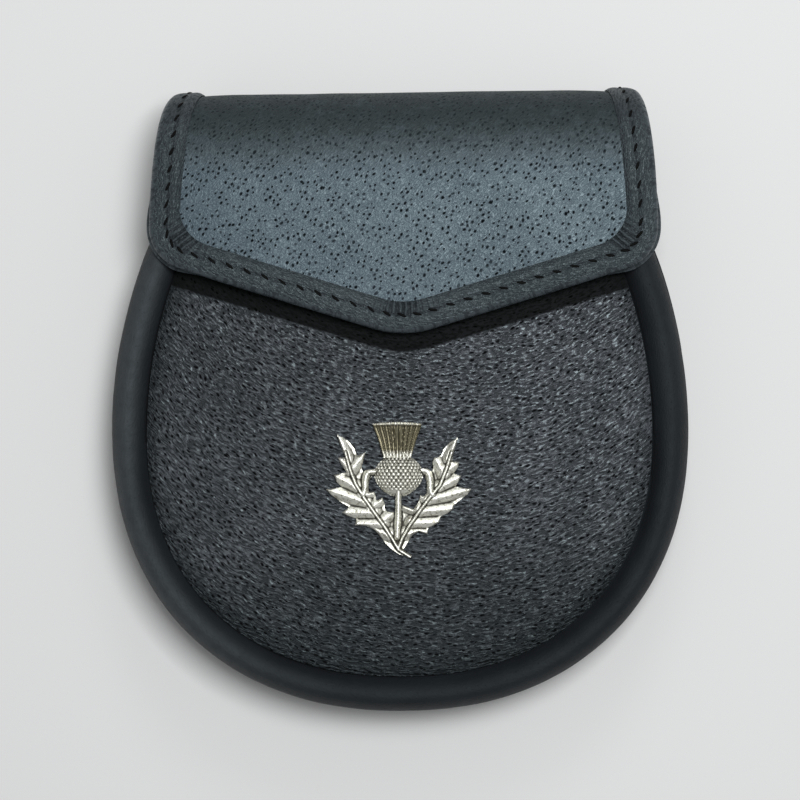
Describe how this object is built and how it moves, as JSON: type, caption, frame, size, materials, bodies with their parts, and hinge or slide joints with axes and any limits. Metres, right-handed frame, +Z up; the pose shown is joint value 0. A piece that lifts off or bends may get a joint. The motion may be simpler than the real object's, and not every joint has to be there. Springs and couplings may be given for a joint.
{
  "type": "sporran pouch",
  "caption": "Rounded leather day sporran with a rolled front edge, a bound V-shaped flap over the mouth, a cast thistle badge and belt loops behind.",
  "frame": {"origin": "middle of the bounding box, on the surface that the sporran lies on", "axes": "+Z up out of the front face, +Y towards the fold at the top, +X to the right seen from the front"},
  "size_m": [0.17, 0.1839, 0.0408],
  "materials": {
    "grained_leather": "pigskin grain, semi-matt",
    "smooth_leather": "smooth, satin",
    "binding_leather": "fine grain, semi-matt",
    "antique_pewter": "cast, antiqued and polished on the raised parts",
    "plated_steel": "plain"
  },
  "bodies": {
    "root": {"back_panel": "grained_leather", "gusset": "smooth_leather", "front_panel": "grained_leather", "flap": "grained_leather", "flap_binding": "binding_leather", "closure_stud": "plated_steel", "thistle_badge": "antique_pewter", "belt_loop_left": "smooth_leather", "belt_loop_right": "smooth_leather"}
  },
  "joints": []
}
